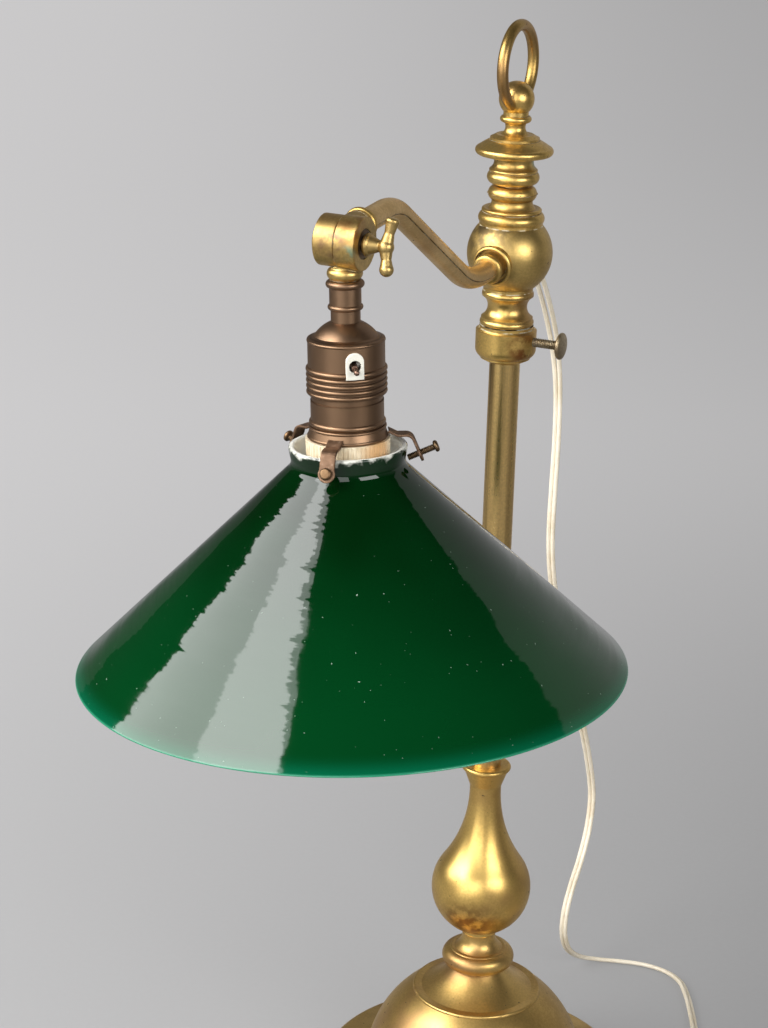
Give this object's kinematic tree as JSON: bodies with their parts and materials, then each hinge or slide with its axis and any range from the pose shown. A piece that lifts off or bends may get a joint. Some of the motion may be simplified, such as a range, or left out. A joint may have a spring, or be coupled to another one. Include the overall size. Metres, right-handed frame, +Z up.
{
  "type": "adjustable desk lamp",
  "caption": "Brass desk lamp: weighted dome base, pole with height collar, swivelling S-arm, tilting switched lampholder and coned green glass shade.",
  "frame": {"origin": "centre of the felt pad, on the surface the lamp stands on", "axes": "+Z up the pole, arm along -Y, knuckle axis along X"},
  "size_m": [0.3072, 0.5115, 0.6082],
  "materials": {
    "aged_brass": "satin, aged and tarnished",
    "pole_brass": "satin drawn tube with a tarnish streak",
    "dark_brass": "dark patina",
    "brown_brass": "brown patina, satin",
    "bright_brass": "worn bright",
    "iron": "raw casting",
    "steel": "plated",
    "felt": "felt",
    "porcelain": "glazed porcelain",
    "cream_plastic": "ivory insulating plate",
    "cream_ring": "ribbed ivory ring",
    "green_glass": "opaque cased glass, green outside and white inside, glossy",
    "flex": "cream twin flex",
    "plug_plastic": "cream moulded plug"
  },
  "bodies": {
    "stand": {"base_pad": "felt", "base_shell": "aged_brass", "base_weight": "iron", "base_washer": "steel", "base_nut": "steel", "tie_rod": "steel", "stem_foot": "aged_brass", "baluster": "aged_brass", "pole_foot": "aged_brass", "pole": "pole_brass", "pole_plug": "aged_brass", "finial_cap": "aged_brass", "finial_eye": "aged_brass", "finial_ring": "aged_brass", "cord_drop": "flex", "cord_coil": "flex", "cord_tie": "flex", "plug_body": "plug_plastic", "plug_pins": "steel"},
    "collar": {"height_collar": "aged_brass"},
    "height_screw": {"thumb_screw": "dark_brass"},
    "arm": {"throat": "aged_brass", "ball": "aged_brass", "crown": "aged_brass", "swivel_sleeve": "pole_brass", "arm_boss": "aged_brass", "arm_ring": "aged_brass", "arm_tube": "pole_brass", "arm_flex": "flex", "end_ferrule": "aged_brass", "arm_knuckle": "aged_brass", "cord_bush": "aged_brass"},
    "wing": {"wing_screw": "bright_brass"},
    "head": {"head_knuckle": "aged_brass", "knuckle_washer": "dark_brass", "holder_neck": "brown_brass", "holder_cap": "brown_brass", "coupling_ring": "brown_brass", "holder_shell": "brown_brass", "holder_insert": "porcelain", "screw_shell": "bright_brass", "centre_contact": "bright_brass", "switch_plate": "cream_plastic", "gallery_ring": "brown_brass", "gallery_arms": "brown_brass", "shade_ring": "cream_ring", "shade": "green_glass"},
    "switch": {"switch_lever": "dark_brass"},
    "grip_front": {"gallery_screw_front": "dark_brass"},
    "grip_right": {"gallery_screw_right": "dark_brass"},
    "grip_left": {"gallery_screw_left": "dark_brass"}
  },
  "joints": [
    {"name": "collar_slide", "type": "slide", "parent": "stand", "child": "collar", "axis": [0, 0, 1], "range_m": [-0.215, 0], "deforming": ["cord_drop"]},
    {"name": "thumb_screw_turn", "type": "hinge", "parent": "collar", "child": "height_screw", "pos_m": [0.0158, 0, 0.44432], "axis": [1, 0, 0], "range_deg": [0, 360]},
    {"name": "arm_swivel", "type": "hinge", "parent": "collar", "child": "arm", "pos_m": [0, 0, 0.45037], "axis": [0, 0, 1], "range_deg": [-90, 90], "deforming": ["cord_drop"]},
    {"name": "wing_screw_turn", "type": "hinge", "parent": "arm", "child": "wing", "pos_m": [0, -0.205, 0.53605], "axis": [1, 0, 0], "range_deg": [0, 360]},
    {"name": "head_tilt", "type": "hinge", "parent": "arm", "child": "head", "pos_m": [0.01015, -0.205, 0.53605], "axis": [1, 0, 0], "range_deg": [-75, 15]},
    {"name": "switch_throw", "type": "hinge", "parent": "head", "child": "switch", "pos_m": [0.01549, -0.21524, 0.48477], "axis": [-0.7872, -0.6157, -0.0357], "range_deg": [0, 24]},
    {"name": "grip_front_turn", "type": "hinge", "parent": "head", "child": "grip_front", "pos_m": [0.01446, -0.23609, 0.43963], "axis": [0.1279, -0.9158, 0.3808], "range_deg": [0, 360]},
    {"name": "grip_right_turn", "type": "hinge", "parent": "head", "child": "grip_right", "pos_m": [0.03756, -0.19071, 0.44067], "axis": [0.8083, 0.4209, 0.4117], "range_deg": [0, 360]},
    {"name": "grip_left_turn", "type": "hinge", "parent": "head", "child": "grip_left", "pos_m": [-0.02069, -0.19632, 0.43803], "axis": [-0.9073, 0.2556, 0.3338], "range_deg": [0, 360]}
  ]
}
